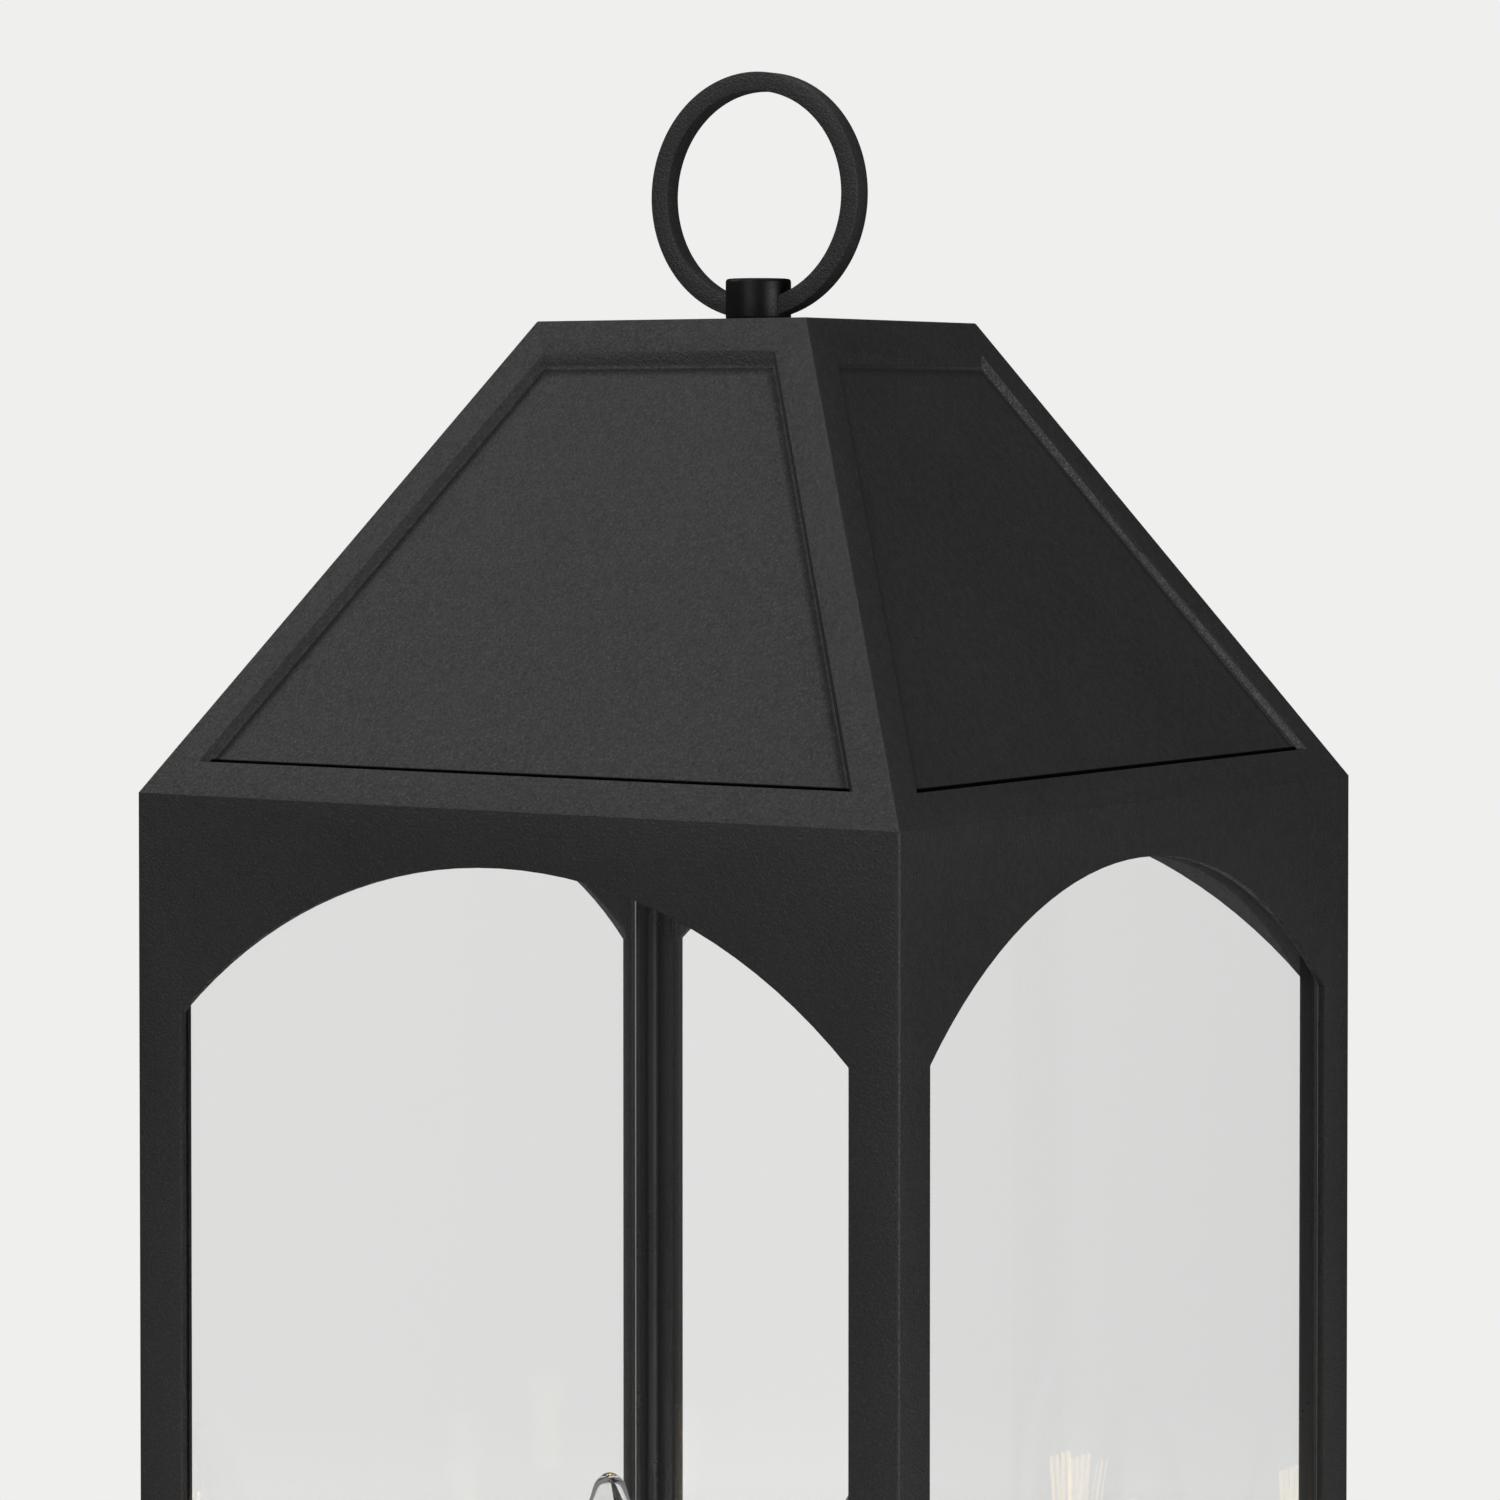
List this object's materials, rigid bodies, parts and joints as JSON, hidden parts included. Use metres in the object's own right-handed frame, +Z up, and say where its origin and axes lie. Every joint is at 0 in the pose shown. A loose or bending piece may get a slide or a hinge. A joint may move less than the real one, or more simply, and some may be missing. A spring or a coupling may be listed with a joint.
{
  "type": "lantern",
  "caption": "Square outdoor pier lantern with arched clear-glass windows, a sunk-panel hipped roof, a ring finial and electric candle lamps.",
  "frame": {"origin": "centre of the footprint on the surface that the base gasket rests on", "axes": "+Z up, -Y out of the front window, +X out of the right window"},
  "size_m": [0.282, 0.282, 0.6024],
  "materials": {
    "powder_coat": "fine textured matte black powder coat",
    "clear_glass": "clear, polished",
    "inner_black": "satin black paint",
    "rubber": "matte",
    "lamp_insulator": "glossy black",
    "filament": "pale yellow coating",
    "lamp_glass": "clear, thin",
    "lamp_shell": "nickel plated",
    "press_glass": "clear",
    "sleeve_white": "satin",
    "zinc": "zinc plated",
    "silicone": "translucent grey",
    "ground_green": "green dyed zinc",
    "socket_black": "moulded phenolic",
    "socket_brass": "plain",
    "bushing_black": "matte"
  },
  "bodies": {
    "frame": {"back_arch_frame": "powder_coat", "back_glass": "clear_glass", "back_glass_strips": "inner_black", "base_casting": "powder_coat", "base_gasket": "rubber", "candle_cups": "inner_black", "candle_sleeves": "sleeve_white", "centre_stud": "zinc", "cluster_arms": "inner_black", "cluster_hub": "inner_black", "cluster_nipple": "zinc", "corner_rods": "inner_black", "cross_bar": "inner_black", "cross_bar_screws": "inner_black", "front_arch_frame": "powder_coat", "front_glass": "clear_glass", "front_glass_strips": "inner_black", "glass_pads": "silicone", "ground_screw": "ground_green", "hub_knob": "inner_black", "lamp_sockets": "socket_black", "left_arch_frame": "powder_coat", "left_glass": "clear_glass", "left_glass_strips": "inner_black", "mounting_plate": "zinc", "nipple_nut": "zinc", "right_arch_frame": "powder_coat", "right_glass": "clear_glass", "right_glass_strips": "inner_black", "rod_foot_nuts": "zinc", "rod_top_nuts": "inner_black", "side_screws": "powder_coat", "socket_contacts": "socket_brass", "socket_shells": "socket_brass", "socket_stems": "zinc", "stud_nuts": "zinc", "top_ring": "inner_black", "wire_bushing": "bushing_black"},
    "roof": {"roof_shell": "powder_coat"},
    "finial": {"ring_loop": "powder_coat", "ring_boss": "powder_coat", "boss_washer": "rubber"},
    "bulb_1": {"bulb_contact_1": "lamp_insulator", "bulb_filaments_1": "filament", "bulb_glass_1": "lamp_glass", "bulb_shell_1": "lamp_shell", "bulb_stem_1": "press_glass"},
    "bulb_2": {"bulb_contact_2": "lamp_insulator", "bulb_filaments_2": "filament", "bulb_glass_2": "lamp_glass", "bulb_shell_2": "lamp_shell", "bulb_stem_2": "press_glass"},
    "bulb_3": {"bulb_contact_3": "lamp_insulator", "bulb_filaments_3": "filament", "bulb_glass_3": "lamp_glass", "bulb_shell_3": "lamp_shell", "bulb_stem_3": "press_glass"}
  },
  "joints": [
    {"name": "roof_lift", "type": "slide", "parent": "frame", "child": "roof", "axis": [0, 0, 1], "range_m": [0, 0.2]},
    {"name": "ring_nut_turn", "type": "hinge", "parent": "roof", "child": "finial", "pos_m": [0, 0, 0.5366], "axis": [0, 0, 1], "continuous": true},
    {"name": "bulb_1_unscrew", "type": "hinge", "parent": "frame", "child": "bulb_1", "pos_m": [-0.04405, -0.01139, 0.105], "axis": [0, 0, 1], "range_deg": [0, 1080]},
    {"name": "bulb_2_unscrew", "type": "hinge", "parent": "frame", "child": "bulb_2", "pos_m": [0.03189, -0.03245, 0.105], "axis": [0, 0, 1], "range_deg": [0, 1080]},
    {"name": "bulb_3_unscrew", "type": "hinge", "parent": "frame", "child": "bulb_3", "pos_m": [0.01216, 0.04385, 0.105], "axis": [0, 0, 1], "range_deg": [0, 1080]}
  ]
}
